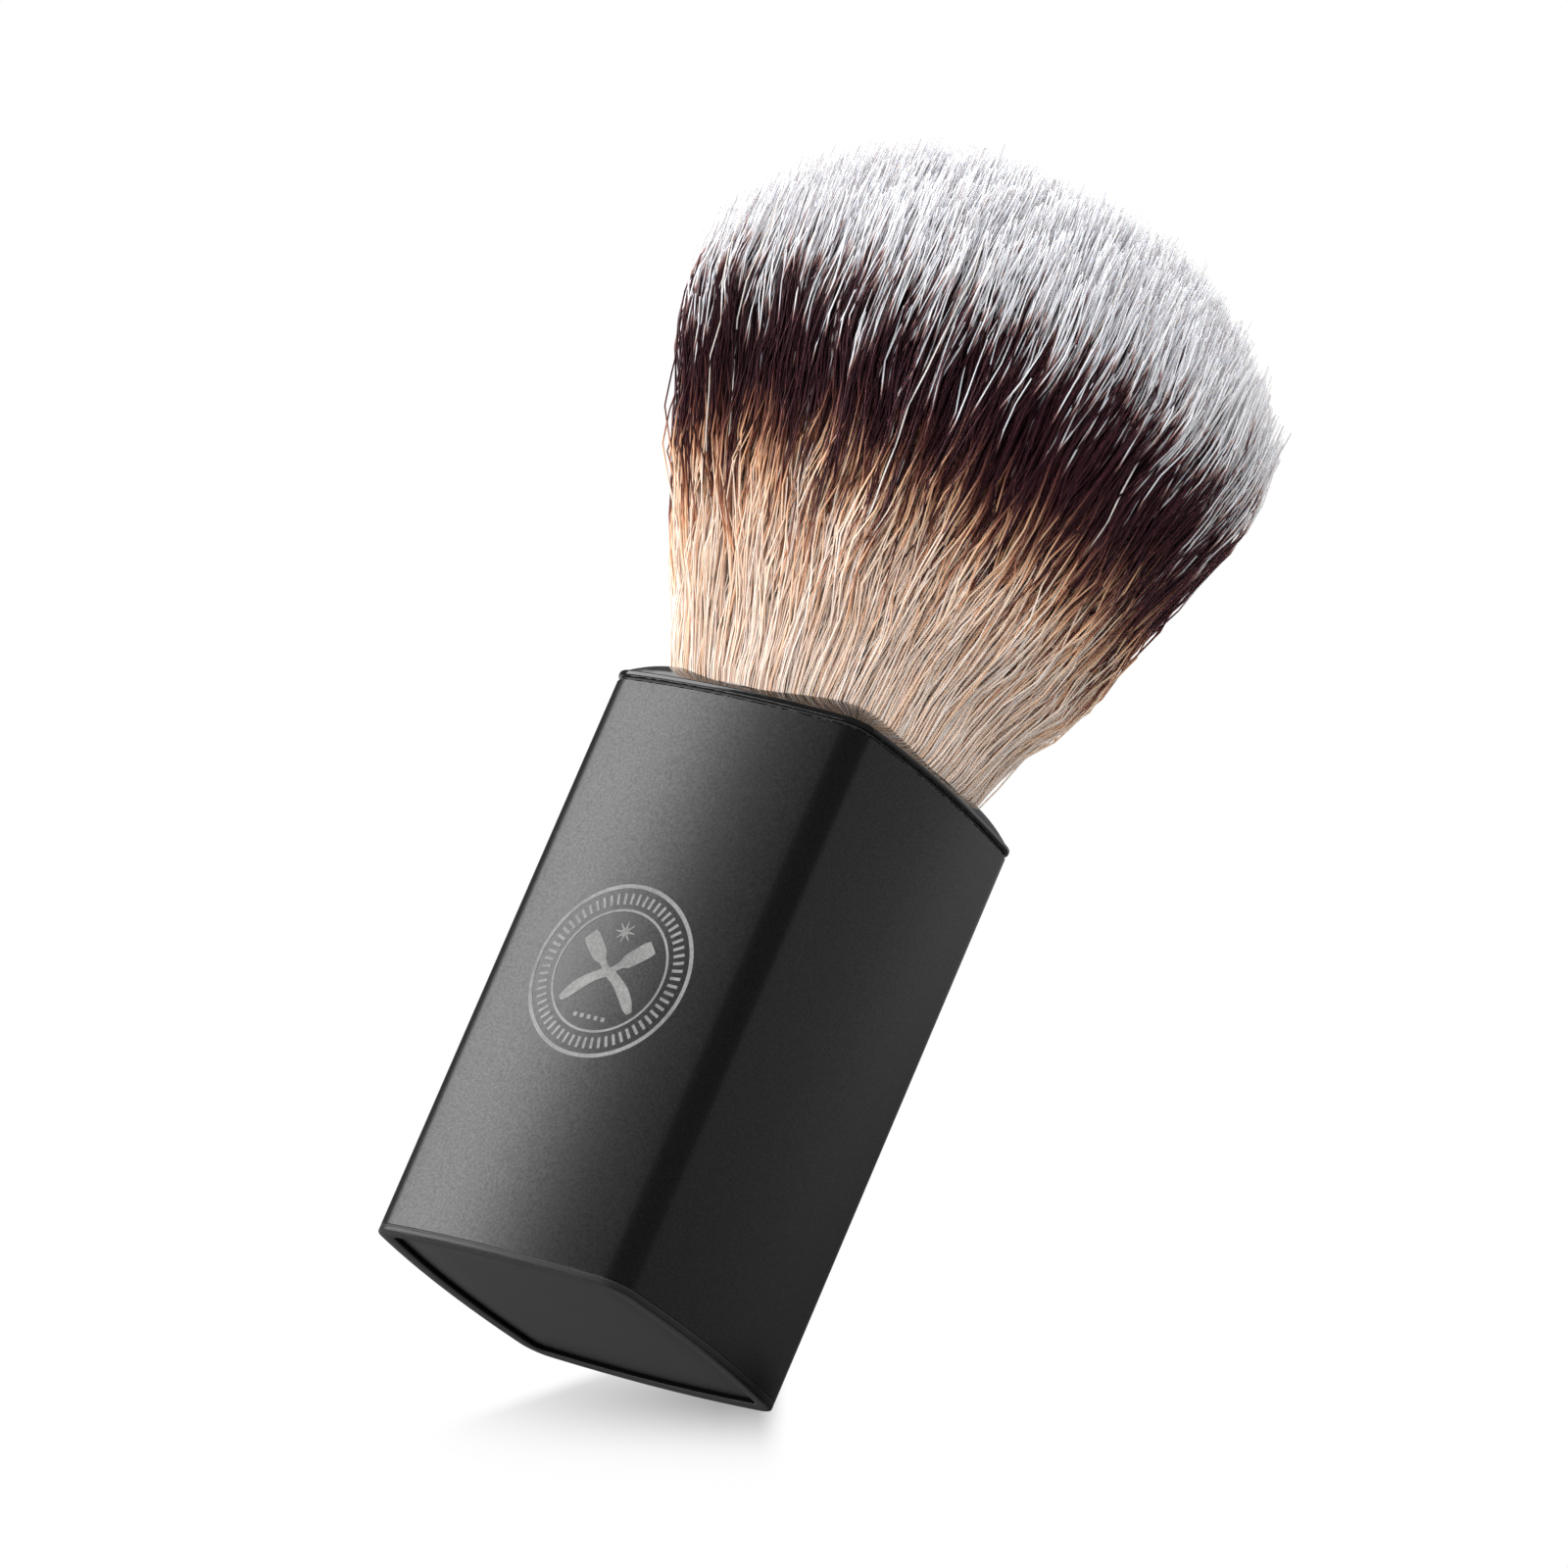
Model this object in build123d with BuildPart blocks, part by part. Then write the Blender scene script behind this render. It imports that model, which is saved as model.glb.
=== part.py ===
from build123d import *
import math
import os

# A shaving brush that stands on its base: a hollow handle cut from bowed square tube, closed by a
# moulded collar and a moulded base plug that one long screw pulls together, with a fan-shaped knot
# of bristles set in the collar. Millimetres, +Z up, the origin in the middle of the face it stands on.

# The handle's section: a square with bowed sides and rounded corners.
across_flats = 27.9
side_bow_radius = 66.0
corner_radius = 2.5
smallest_corner = 0.5

# The tube.
sleeve_length = 49.2
sleeve_wall = 1.0
sleeve_end_chamfer = 0.15

# What fits inside the tube, and the gaskets between its ends and the two flanges.
spigot_clearance = 0.1
gasket_thickness = 0.2
gasket_setback = 0.25

# The collar: a flange on the tube's end, a pillow-shaped lip above it and a round well below. The
# lip's outline shrinks by each run as it climbs to each rise, both from the foot of the lip.
collar_flange = 0.55
collar_overhang = 0.1
flange_edge_radius = 0.2
lip_setback = 0.15
lip_runs = (0.0, 0.7, 1.6, 2.8)
lip_rises = (0.0, 0.65, 1.3, 1.95)
mouth_land = 0.55
neck_wall = 0.75
neck_drop = 0.35
mouth_rise = 0.5
funnel_depth = 4.0
well_wall = 1.25
well_depth = 10.5
well_floor = 2.0
collar_skirt = 4.0
collar_skirt_wall = 1.4
boss_radius = 5.0
boss_length = 8.4
collar_rib = 1.2

# The knot: fibres set in resin inside a ring, glued to the floor of the well.
ring_clearance = 0.1
ring_wall = 0.4
ring_length = 8.5
glue_bed = 0.3
resin_depth = 7.5
fibre_clearance = 0.15
flare_degrees = 22.6
loft_above_flange = 52.6
crown_radius = 39.0
shoulder_radius = 12.0

# The brass insert and the screw that ties the handle together.
insert_radius = 2.8
insert_length = 8.0
insert_waist = 0.3
insert_groove = 1.6
insert_seat_clearance = 0.02
screw_radius = 2.0
thread_clearance = 0.02
thread_runout = 0.8
screw_hole_clearance = 0.25
head_radius = 3.8
head_height = 2.2
head_dome = 1.1
head_socket = 2.5
socket_depth = 1.3
head_clearance = 0.8
washer_radius = 4.3
washer_thickness = 0.8

# The base plug: a thin flange with a pocket in its face, a spigot and a hub for the screw's head.
base_flange = 0.4
base_edge_radius = 0.15
base_rim = 1.45
panel_recess = 0.4
panel_thickness = 0.8
panel_clearance = 0.1
panel_edge_radius = 0.1
adhesive_thickness = 0.2
adhesive_setback = 0.7
adhesive_hole_radius = 5.0
base_floor = 2.0
base_spigot = 8.6
base_spigot_wall = 1.5
hub_radius = 6.5
hub_web = 2.8

# The steel weight, stood on the hub and centred by ribs on the spigot's flats.
weight_clearance = 0.05
locating_rib = 1.0
locating_rib_width = 1.6
weight_headroom = 5.8
weight_hole_clearance = 0.6
weight_chamfer = 0.6

# Heights, from the face that the brush stands on upwards.
panel_face = panel_recess
adhesive_face = panel_face + panel_thickness
pocket_ceiling = adhesive_face + adhesive_thickness
sleeve_bottom = base_flange + gasket_thickness
sleeve_top = sleeve_bottom + sleeve_length
collar_seat = sleeve_top + gasket_thickness
flange_top = collar_seat + collar_flange
lip_top = flange_top + lip_rises[-1]
mouth_bottom = flange_top + mouth_rise
neck_height = collar_seat - neck_drop
funnel_bottom = neck_height - funnel_depth
well_bottom = funnel_bottom - well_depth
boss_top = well_bottom - well_floor
boss_bottom = boss_top - boss_length
head_face = pocket_ceiling + head_clearance / 4
washer_face = head_face + head_height
washer_seat = washer_face + washer_thickness
hub_top = washer_seat + hub_web
weight_top = boss_bottom - weight_headroom
knot_bottom = well_bottom + glue_bed
resin_top = knot_bottom + resin_depth
knot_top = flange_top + loft_above_flange

# Radii and insets that follow from the tube.
spigot_inset = sleeve_wall + spigot_clearance
spigot_half = across_flats / 2 - spigot_inset
well_radius = spigot_half - well_wall
ring_radius = well_radius - ring_clearance
knot_radius = ring_radius - ring_wall
neck_radius = spigot_half - neck_wall
mouth_radius = across_flats / 2 - mouth_land
fibre_root_radius = knot_radius - fibre_clearance
fibre_neck_radius = neck_radius - fibre_clearance
fibre_mouth_radius = mouth_radius - fibre_clearance
base_spigot_half = spigot_half - base_spigot_wall
weight_radius = base_spigot_half - locating_rib - weight_clearance
insert_top = boss_bottom + insert_length
screw_tip = insert_top


def bowed_square(inset, corner):
    """The handle's outline moved inwards by inset, with its corners rounded to the given radius."""
    half = across_flats / 2 - inset
    bow = side_bow_radius - inset
    # Two neighbouring bows meet on the diagonal.
    behind = bow - half
    meet = (math.sqrt(2 * bow**2 - behind**2) - behind) / 2
    side = [Vector(-meet, -meet), Vector(0, -half), Vector(meet, -meet)]
    with BuildSketch(mode=Mode.PRIVATE) as outline:
        with BuildLine():
            for quarter in range(4):
                ThreePointArc(*(point.rotate(Axis.Z, 90 * quarter) for point in side))
        make_face()
        fillet(outline.vertices(), max(corner, smallest_corner))
    return outline.sketch


def parallel_corner(inset):
    """The corner radius that keeps the wall even where the outline is moved inwards by inset."""
    return corner_radius - inset


def end_edges(part):
    """The edges of the open part's lowest and highest faces."""
    levels = part.edges().group_by(Axis.Z)
    return levels[0] + levels[-1]


def gasket(height):
    """A flat gasket on one sawn end of the tube, set back a little from its outside."""
    with BuildPart() as seal:
        with BuildSketch(Plane.XY.offset(height)):
            add(bowed_square(gasket_setback, parallel_corner(gasket_setback)))
            add(bowed_square(spigot_inset, parallel_corner(spigot_inset)), mode=Mode.SUBTRACT)
        extrude(amount=gasket_thickness)
    return seal


# The tube, with the corners of its sawn ends broken.
with BuildPart() as sleeve:
    with BuildSketch(Plane.XY.offset(sleeve_bottom)):
        add(bowed_square(0, parallel_corner(0)))
    extrude(amount=sleeve_length)
    chamfer(end_edges(sleeve), sleeve_end_chamfer)
    with BuildSketch(Plane.XY.offset(sleeve_bottom)):
        add(bowed_square(sleeve_wall, parallel_corner(sleeve_wall)))
    extrude(amount=sleeve_length, mode=Mode.SUBTRACT)

# The gaskets on the sleeve's two ends.
collar_gasket = gasket(sleeve_top)
base_gasket = gasket(base_flange)

# The collar, from its flange up to the lip and down to the boss for the threaded insert.
skirt_bottom = boss_top - collar_skirt
skirt_inset = spigot_inset + collar_skirt_wall
with BuildPart() as collar:
    with BuildSketch(Plane.XY.offset(collar_seat)):
        add(bowed_square(-collar_overhang, parallel_corner(-collar_overhang)))
    extrude(amount=collar_flange)
    fillet(end_edges(collar), flange_edge_radius)
    for run, rise in zip(lip_runs, lip_rises):
        with BuildSketch(Plane.XY.offset(flange_top + rise)):
            add(bowed_square(lip_setback + run, parallel_corner(lip_setback)))
    loft()
    with BuildSketch(Plane.XY.offset(skirt_bottom)):
        add(bowed_square(spigot_inset, parallel_corner(spigot_inset)))
    extrude(amount=collar_seat - skirt_bottom)
    # Hollow the skirt under the well's floor, then stand the boss and its ribs in it.
    with BuildSketch(Plane.XY.offset(skirt_bottom)):
        add(bowed_square(skirt_inset, parallel_corner(skirt_inset)))
    extrude(amount=collar_skirt, mode=Mode.SUBTRACT)
    with BuildSketch(Plane.XY.offset(boss_bottom)):
        Circle(boss_radius)
    extrude(amount=boss_length)
    with BuildSketch(Plane.XY.offset(skirt_bottom)):
        span = 2 * (spigot_half - collar_skirt_wall / 2)
        Rectangle(span, collar_rib)
        Rectangle(collar_rib, span)
    extrude(amount=collar_skirt)
    # The funnel and the well that hold the knot, and the seat of the insert.
    with BuildSketch(Plane.XZ):
        with BuildLine():
            Polyline(
                (0, lip_top),
                (mouth_radius, lip_top),
                (mouth_radius, mouth_bottom),
                (neck_radius, neck_height),
                (well_radius, funnel_bottom),
                (well_radius, well_bottom),
                (0, well_bottom),
                close=True,
            )
        make_face()
    revolve(axis=Axis.Z, mode=Mode.SUBTRACT)
    with BuildSketch(Plane.XY.offset(boss_bottom)):
        Circle(insert_radius + insert_seat_clearance)
    extrude(amount=insert_length + thread_runout, mode=Mode.SUBTRACT)

# The brass insert pressed into the boss, waisted so that the plastic grips it.
waist_radius = insert_radius - insert_waist
groove_bottom = boss_bottom + (insert_length - insert_groove) / 2
with BuildPart() as threaded_insert:
    with BuildSketch(Plane.XY.offset(boss_bottom)):
        Circle(insert_radius)
    extrude(amount=insert_length)
    with BuildSketch(Plane.XY.offset(groove_bottom)):
        Circle(insert_radius)
        Circle(waist_radius, mode=Mode.SUBTRACT)
    extrude(amount=insert_groove, mode=Mode.SUBTRACT)
    with BuildSketch(Plane.XY.offset(boss_bottom)):
        Circle(screw_radius + thread_clearance)
    extrude(amount=insert_length, mode=Mode.SUBTRACT)

# The aluminium ring that the fibres were gathered in.
with BuildPart() as knot_ring:
    with BuildSketch(Plane.XY.offset(knot_bottom)):
        Circle(ring_radius)
        Circle(knot_radius, mode=Mode.SUBTRACT)
    extrude(amount=ring_length)

# The resin cast around the roots of the fibres, and the glue that holds the ring in the well.
with BuildPart() as knot_resin:
    with BuildSketch(Plane.XY.offset(knot_bottom)):
        Circle(knot_radius)
    extrude(amount=resin_depth)

with BuildPart() as knot_glue:
    with BuildSketch(Plane.XY.offset(well_bottom)):
        Circle(ring_radius)
    extrude(amount=glue_bed)

# The space that the fibres fill: a flared cone under a rounded shoulder and a shallow crown.
slope = math.tan(math.radians(flare_degrees))
crown_centre = knot_top - crown_radius
# The flare's line meets the crown's circle where a * rise**2 + b * rise + c = 0.
drop = lip_top - crown_centre
a = 1 + slope**2
b = 2 * (fibre_mouth_radius * slope + drop)
c = fibre_mouth_radius**2 + drop**2 - crown_radius**2
rise = (-b + math.sqrt(b**2 - 4 * a * c)) / (2 * a)
edge = (fibre_mouth_radius + slope * rise, lip_top + rise)
half_turn = math.atan2(edge[0], edge[1] - crown_centre) / 2
middle = (
    crown_radius * math.sin(half_turn),
    crown_centre + crown_radius * math.cos(half_turn),
)
with BuildPart() as bristles:
    with BuildSketch(Plane.XZ) as profile:
        with BuildLine():
            Polyline(
                (0, knot_top),
                (0, resin_top),
                (fibre_root_radius, resin_top),
                (fibre_root_radius, funnel_bottom),
                (fibre_neck_radius, neck_height),
                (fibre_mouth_radius, mouth_bottom),
                (fibre_mouth_radius, lip_top),
                edge,
            )
            ThreePointArc(edge, middle, (0, knot_top))
        make_face()
        fillet(profile.vertices().sort_by(Axis.X)[-1], shoulder_radius)
    revolve(axis=Axis.Z)

# The base plug: flange and pocket below, spigot, hub and locating ribs above.
floor_top = pocket_ceiling + base_floor
bore_inset = spigot_inset + base_spigot_wall
rib_reach = base_spigot_half - locating_rib
with BuildPart() as base_plug:
    with BuildSketch():
        add(bowed_square(0, parallel_corner(0)))
    extrude(amount=base_flange)
    fillet(base_plug.edges().group_by(Axis.Z)[0], base_edge_radius)
    with BuildSketch(Plane.XY.offset(base_flange)):
        add(bowed_square(spigot_inset, parallel_corner(spigot_inset)))
    extrude(amount=base_spigot)
    with BuildSketch(Plane.XY.offset(floor_top)):
        add(bowed_square(bore_inset, parallel_corner(bore_inset)))
    extrude(amount=base_flange + base_spigot - floor_top, mode=Mode.SUBTRACT)
    with BuildSketch(Plane.XY.offset(floor_top)):
        Circle(hub_radius)
    extrude(amount=hub_top - floor_top)
    # A rib on the middle of each flat, which runs a little into the wall behind it.
    rib_depth = locating_rib + base_spigot_wall / 2
    with BuildSketch(Plane.XY.offset(floor_top)):
        with PolarLocations(rib_reach + rib_depth / 2, 4):
            Rectangle(rib_depth, locating_rib_width)
    extrude(amount=base_flange + base_spigot - floor_top)
    with BuildSketch():
        add(bowed_square(base_rim, parallel_corner(base_rim)))
    extrude(amount=pocket_ceiling, mode=Mode.SUBTRACT)
    with BuildSketch():
        Circle(screw_radius + screw_hole_clearance)
    extrude(amount=hub_top, mode=Mode.SUBTRACT)
    with BuildSketch():
        Circle(head_radius + head_clearance)
    extrude(amount=washer_seat, mode=Mode.SUBTRACT)

# The turned steel weight, bored for the screw.
with BuildPart() as weight:
    with BuildSketch(Plane.XY.offset(hub_top)):
        Circle(weight_radius)
    extrude(amount=weight_top - hub_top)
    chamfer(end_edges(weight), weight_chamfer)
    with BuildSketch(Plane.XY.offset(hub_top)):
        Circle(screw_radius + weight_hole_clearance)
    extrude(amount=weight_top - hub_top, mode=Mode.SUBTRACT)

# The steel washer between the screw's head and its seat in the hub.
with BuildPart() as screw_washer:
    with BuildSketch(Plane.XY.offset(washer_face)):
        Circle(washer_radius)
        Circle(screw_radius + screw_hole_clearance, mode=Mode.SUBTRACT)
    extrude(amount=washer_thickness)

# The button-head screw, its head down, with a hexagon socket. The thread is left plain.
with BuildPart() as tie_screw:
    with BuildSketch(Plane.XY.offset(head_face)):
        Circle(head_radius)
    extrude(amount=head_height)
    fillet(tie_screw.edges().group_by(Axis.Z)[0], head_dome)
    with BuildSketch(Plane.XY.offset(washer_face)):
        Circle(screw_radius)
    extrude(amount=screw_tip - washer_face)
    with BuildSketch(Plane.XY.offset(head_face)):
        RegularPolygon(head_socket / 2, 6, major_radius=False)
    extrude(amount=socket_depth, mode=Mode.SUBTRACT)

# The double-sided sheet that holds the plate, open over the screw's head.
adhesive_inset = base_rim + adhesive_setback
with BuildPart() as panel_adhesive:
    with BuildSketch(Plane.XY.offset(adhesive_face)):
        add(bowed_square(adhesive_inset, parallel_corner(adhesive_inset)))
    extrude(amount=adhesive_thickness)
    with BuildSketch(Plane.XY.offset(adhesive_face)):
        Circle(adhesive_hole_radius)
    extrude(amount=adhesive_thickness, mode=Mode.SUBTRACT)

# The plate that covers the screw, seated a little inside the rim that the brush stands on.
panel_inset = base_rim + panel_clearance
with BuildPart() as base_panel:
    with BuildSketch(Plane.XY.offset(panel_face)):
        add(bowed_square(panel_inset, parallel_corner(panel_inset)))
    extrude(amount=panel_thickness)
    fillet(base_panel.edges().group_by(Axis.Z)[0], panel_edge_radius)

pieces = {
    "sleeve": sleeve,
    "collar": collar,
    "collar_gasket": collar_gasket,
    "bristles": bristles,
    "knot_ring": knot_ring,
    "knot_resin": knot_resin,
    "knot_glue": knot_glue,
    "threaded_insert": threaded_insert,
    "tie_screw": tie_screw,
    "screw_washer": screw_washer,
    "weight": weight,
    "base_plug": base_plug,
    "base_gasket": base_gasket,
    "base_panel": base_panel,
    "panel_adhesive": panel_adhesive,
}

os.makedirs("parts", exist_ok=True)
for name, piece in pieces.items():
    piece.part.label = name
    export_step(piece.part, f"parts/{name}.step")
    print(name, round(piece.part.volume, 1), "mm3")
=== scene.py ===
import math
from functools import partial
import bmesh
import bpy
from mathutils import Matrix, Vector


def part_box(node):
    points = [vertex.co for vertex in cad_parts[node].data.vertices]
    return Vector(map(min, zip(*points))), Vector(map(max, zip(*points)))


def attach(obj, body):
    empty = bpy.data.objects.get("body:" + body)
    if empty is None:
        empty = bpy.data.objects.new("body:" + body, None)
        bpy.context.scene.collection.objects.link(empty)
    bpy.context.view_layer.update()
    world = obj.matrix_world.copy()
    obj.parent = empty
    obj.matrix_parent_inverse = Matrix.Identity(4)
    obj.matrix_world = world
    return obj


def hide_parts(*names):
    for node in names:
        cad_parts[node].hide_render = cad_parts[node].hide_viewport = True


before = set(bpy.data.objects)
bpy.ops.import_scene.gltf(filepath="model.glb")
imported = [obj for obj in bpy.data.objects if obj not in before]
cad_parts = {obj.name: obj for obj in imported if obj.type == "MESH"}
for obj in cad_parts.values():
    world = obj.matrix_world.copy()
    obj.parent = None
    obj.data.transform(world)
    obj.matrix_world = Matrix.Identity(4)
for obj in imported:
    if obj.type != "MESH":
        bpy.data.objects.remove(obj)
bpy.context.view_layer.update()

mm = 0.001


def feed(node, sockets):
    # sets a node's inputs, by name or in order; a node or a socket as the value is linked
    for name, value in sockets.items() if isinstance(sockets, dict) else enumerate(sockets):
        value = value.outputs[0] if isinstance(value, bpy.types.Node) else value
        if isinstance(value, bpy.types.NodeSocket):
            node.id_data.links.new(value, node.inputs[name])
        else:
            node.inputs[name].default_value = value


def addNode(tree, kind, sockets=(), **settings):
    node = tree.nodes.new(kind)
    for name, value in settings.items():
        setattr(node, name, value)
    feed(node, sockets)
    return node


def addObject(name, data):
    made = bpy.data.objects.new(name, data)
    bpy.context.scene.collection.objects.link(made)
    return made


def colour(hexCode):
    parts = [int(hexCode[i:i + 2], 16) / 255 for i in (1, 3, 5)]
    linear = [c / 12.92 if c <= 0.04045 else ((c + 0.055) / 1.055) ** 2.4 for c in parts]
    return (*linear, 1.0)


def perMetre(sizeMm):
    # a texture's scale is features per metre, from the size of one feature
    return 1000 / sizeMm


def emptyTree(owner):
    owner.use_nodes = True
    owner.node_tree.nodes.clear()
    return partial(addNode, owner.node_tree)


def newMaterial(name, **settings):
    # gives the material, the call that adds a node to it, and its shader
    made = bpy.data.materials.new(name)
    add = emptyTree(made)
    shader = add("ShaderNodeBsdfPrincipled", settings)
    add("ShaderNodeOutputMaterial", [shader])
    return made, add, shader


# The handle's section, shared by every moulded and cut piece.
section = {
    "halfFlat": 13.95,
    "bowRadius": 66.0,
    "cornerRadius": 2.5,
    "smallestCorner": 0.5,
    "stepsPerSide": 26,
    "stepsPerCorner": 12,
}


def outline(inset, corner=None):
    # points of the bowed square moved inwards by inset, in millimetres, always as many of them
    half = section["halfFlat"] - inset
    bow = section["bowRadius"] - inset
    corner = section["cornerRadius"] - inset if corner is None else corner
    corner = max(corner, section["smallestCorner"])
    back = bow - half
    reach = (-2 * back + math.sqrt(4 * back ** 2 - 8 * (back ** 2 - (bow - corner) ** 2))) / 4
    lean = math.atan2(reach, reach + back)
    points = []
    for quarter in range(4):
        side = []
        steps = section["stepsPerSide"]
        for i in range(steps + 1):
            a = lean * (2 * i / steps - 1)
            side.append(Vector((bow * math.sin(a), back - bow * math.cos(a))))
        steps = section["stepsPerCorner"]
        for i in range(1, steps):
            a = -math.pi / 2 + lean + (math.pi / 2 - 2 * lean) * i / steps
            side.append(Vector((reach + corner * math.cos(a), -reach + corner * math.sin(a))))
        turn = Matrix.Rotation(math.pi / 2 * quarter, 2)
        points += [turn @ p for p in side]
    return points


bearings = [math.atan2(p.y, p.x) for p in outline(0)]


def squareRing(inset, height, corner=None):
    return [Vector((p.x, p.y, height)) * mm for p in outline(inset, corner)]


def roundRing(radius, height):
    return [Vector((radius * math.cos(a), radius * math.sin(a), height)) * mm for a in bearings]


def skin(name, strips, finishes=None, sharp=32):
    # joins ring to ring; a closed strip runs back to its first ring, an open one is capped
    mesh = bpy.data.meshes.new(name)
    shape = bmesh.new()
    for rings, closed in strips:
        rows = [[shape.verts.new(p) for p in ring] for ring in rings]
        count = len(rings[0])
        pairs = list(zip(rows, rows[1:])) + ([(rows[-1], rows[0])] if closed else [])
        for band, (low, high) in enumerate(pairs):
            for i in range(count):
                j = (i + 1) % count
                face = shape.faces.new((low[i], low[j], high[j], high[i]))
                face.material_index = (finishes or {}).get(band, 0)
        for row in () if closed else (rows[0], rows[-1]):
            hub = shape.verts.new(sum((v.co for v in row), Vector()) / count)
            for i in range(count):
                shape.faces.new((row[i], row[(i + 1) % count], hub))
    bmesh.ops.recalc_face_normals(shape, faces=shape.faces)
    shape.to_mesh(mesh)
    shape.free()
    mesh.shade_smooth()
    mesh.set_sharp_from_angle(angle=math.radians(sharp))
    return addObject(name, mesh)


def finishPiece(made, slot, node, *materials):
    for material in materials:
        made.data.materials.append(material)
    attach(made, "root")
    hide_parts(node)


def filletRings(inset, height, radius, start, end, steps=5):
    # the rings of a rounded edge, about a centre line at inset and height, from start to end degrees
    rings = []
    for i in range(steps + 1):
        a = math.radians(start + (end - start) * i / steps)
        rings.append(squareRing(inset - radius * math.cos(a), height + radius * math.sin(a)))
    return rings


def makeAnodisedAluminium():
    # bead-blasted, then black anodised: a soft sheen broken up by a fine even grit
    look = {"black": "#404040", "worn": "#4d4d4d", "gritMm": 0.2, "cloudMm": 9.0, "smoothest": 0.325,
            "roughest": 0.345, "bump": 0.15, "bumpMm": 0.03}
    made, add, shader = newMaterial("anodisedAluminiumSatinBlack", Metallic=1.0)
    place = add("ShaderNodeTexCoord").outputs["Object"]
    grit = add("ShaderNodeTexNoise", {
        "Vector": place, "Scale": perMetre(look["gritMm"]), "Detail": 3.0, "Roughness": 0.65})
    cloud = add("ShaderNodeTexNoise", {
        "Vector": place, "Scale": perMetre(look["cloudMm"]), "Detail": 4.0})
    tint = add("ShaderNodeMapRange", {"Value": grit, "From Min": 0.36, "From Max": 0.64})
    mixed = add("ShaderNodeMix", {
        0: tint, 6: colour(look["black"]), 7: colour(look["worn"])}, data_type="RGBA")
    rough = add("ShaderNodeMapRange", {
        "Value": cloud, "From Min": 0.3, "From Max": 0.7,
        "To Min": look["smoothest"], "To Max": look["roughest"]})
    bump = add("ShaderNodeBump", {
        "Height": grit, "Strength": look["bump"], "Distance": look["bumpMm"] * mm})
    feed(shader, {"Base Color": mixed.outputs[2], "Roughness": rough, "Normal": bump})
    return made


anodisedAluminium = makeAnodisedAluminium()


def makeBareAluminium():
    # where the saw cut through the black: bright metal, and broken up, since the cut isn't even
    look = {"metal": "#f0f0f2", "black": "#2a2a2b", "burrMm": 0.6}
    made, add, shader = newMaterial("sawnAluminiumEdge", Metallic=1.0, Roughness=0.42)
    place = add("ShaderNodeTexCoord").outputs["Object"]
    burr = add("ShaderNodeTexNoise", {
        "Vector": place, "Scale": perMetre(look["burrMm"]), "Detail": 4.0, "Roughness": 0.7})
    left = add("ShaderNodeMapRange", {"Value": burr, "From Min": 0.46, "From Max": 0.58})
    mixed = add("ShaderNodeMix", {
        0: left, 6: colour(look["black"]), 7: colour(look["metal"])}, data_type="RGBA")
    feed(shader, {"Base Color": mixed.outputs[2]})
    return made


def makeGlossAbs():
    # ABS from a polished mould: a deep black with a sharp shine and the faint ripple of a moulding
    look = {"black": "#0b0b0c", "rippleMm": 3.5, "hazeMm": 0.9, "smoothest": 0.07, "roughest": 0.16,
            "bump": 0.15, "bumpMm": 0.05}
    made, add, shader = newMaterial("polishedBlackAbs", IOR=1.54)
    place = add("ShaderNodeTexCoord").outputs["Object"]
    haze = add("ShaderNodeTexNoise", {"Vector": place, "Scale": perMetre(look["hazeMm"]), "Detail": 5.0})
    rough = add("ShaderNodeMapRange", {
        "Value": haze, "From Min": 0.35, "From Max": 0.7,
        "To Min": look["smoothest"], "To Max": look["roughest"]})
    ripple = add("ShaderNodeTexNoise", {
        "Vector": place, "Scale": perMetre(look["rippleMm"]), "Detail": 1.0})
    bump = add("ShaderNodeBump", {
        "Height": ripple, "Strength": look["bump"], "Distance": look["bumpMm"] * mm})
    feed(shader, {"Base Color": colour(look["black"]), "Roughness": rough, "Normal": bump})
    return made


def makeSatinAbs(name, black, pale, grain=0.07, roughest=0.44, specular=0.5):
    # ABS from a spark-eroded mould: the same black under a very fine even texture
    look = {"grainMm": 0.22, "cloudMm": 6.0, "smoother": 0.03, "bumpMm": 0.03}
    made, add, shader = newMaterial(name, **{"IOR": 1.54, "Specular IOR Level": specular})
    place = add("ShaderNodeTexCoord").outputs["Object"]
    fine = add("ShaderNodeTexNoise", {
        "Vector": place, "Scale": perMetre(look["grainMm"]), "Detail": 2.0})
    cloud = add("ShaderNodeTexNoise", {
        "Vector": place, "Scale": perMetre(look["cloudMm"]), "Detail": 3.0})
    mixed = add("ShaderNodeMix", {0: cloud, 6: colour(black), 7: colour(pale)}, data_type="RGBA")
    rough = add("ShaderNodeMapRange", {
        "Value": cloud, "From Min": 0.3, "From Max": 0.7, "To Min": roughest - look["smoother"],
        "To Max": roughest})
    bump = add("ShaderNodeBump", {"Height": fine, "Strength": grain, "Distance": look["bumpMm"] * mm})
    feed(shader, {"Base Color": mixed.outputs[2], "Roughness": rough, "Normal": bump})
    return made


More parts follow.
